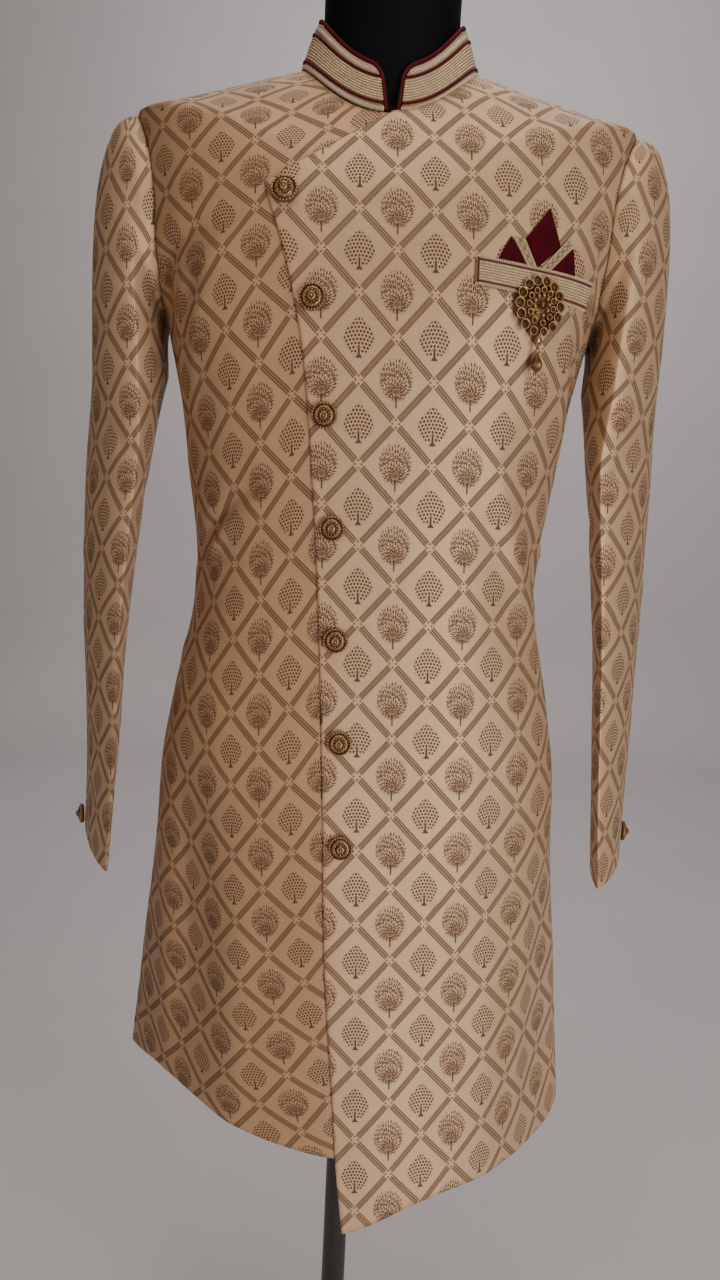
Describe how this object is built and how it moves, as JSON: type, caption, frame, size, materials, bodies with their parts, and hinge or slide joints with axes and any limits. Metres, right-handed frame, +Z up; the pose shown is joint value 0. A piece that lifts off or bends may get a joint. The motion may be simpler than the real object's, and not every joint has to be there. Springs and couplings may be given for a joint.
{
  "type": "asymmetric brocade indo-western coat on a limbless dress form",
  "caption": "Long asymmetric brocade coat with a stand collar, slanted button front and pocket trim, on a black limbless dress form with a pole and base.",
  "frame": {"origin": "centre of the stand base's underside, on the floor", "axes": "+Z up, -Y the front of the coat, +X the wearer's left"},
  "size_m": [0.5772, 0.38, 1.598],
  "materials": {
    "brocade": "woven satin ground with a raised lattice",
    "trim": "corded cream and gold braid",
    "maroon_cord": "matt cord",
    "satin": "satin",
    "antique_gold": "antique",
    "form_black": "matt",
    "stand_black": "satin black"
  },
  "bodies": {
    "coat_and_form": {"front_overlap": "brocade", "front_underlap": "brocade", "back": "brocade", "sleeve_left": "brocade", "sleeve_right": "brocade", "collar": "trim", "pocket_welt": "trim", "pocket_band_left": "trim", "pocket_band_right": "trim", "collar_piping": "maroon_cord", "collar_line_upper": "maroon_cord", "collar_line_lower": "maroon_cord", "pocket_square_left": "satin", "pocket_square_middle": "satin", "pocket_square_right": "satin", "brooch": "antique_gold", "button_1": "antique_gold", "button_2": "antique_gold", "button_3": "antique_gold", "button_4": "antique_gold", "button_5": "antique_gold", "button_6": "antique_gold", "button_7": "antique_gold", "cuff_button_left": "antique_gold", "cuff_button_right": "antique_gold", "form_torso": "form_black", "stand_pole": "stand_black", "stand_base": "stand_black"},
    "drop": {"brooch_drop": "antique_gold"}
  },
  "joints": [
    {"name": "drop_swing", "type": "hinge", "parent": "coat_and_form", "child": "drop", "pos_m": [0.13151, -0.11947, 1.2688], "axis": [0.3587, -0.9335, 0], "range_deg": [-35, 35]}
  ]
}
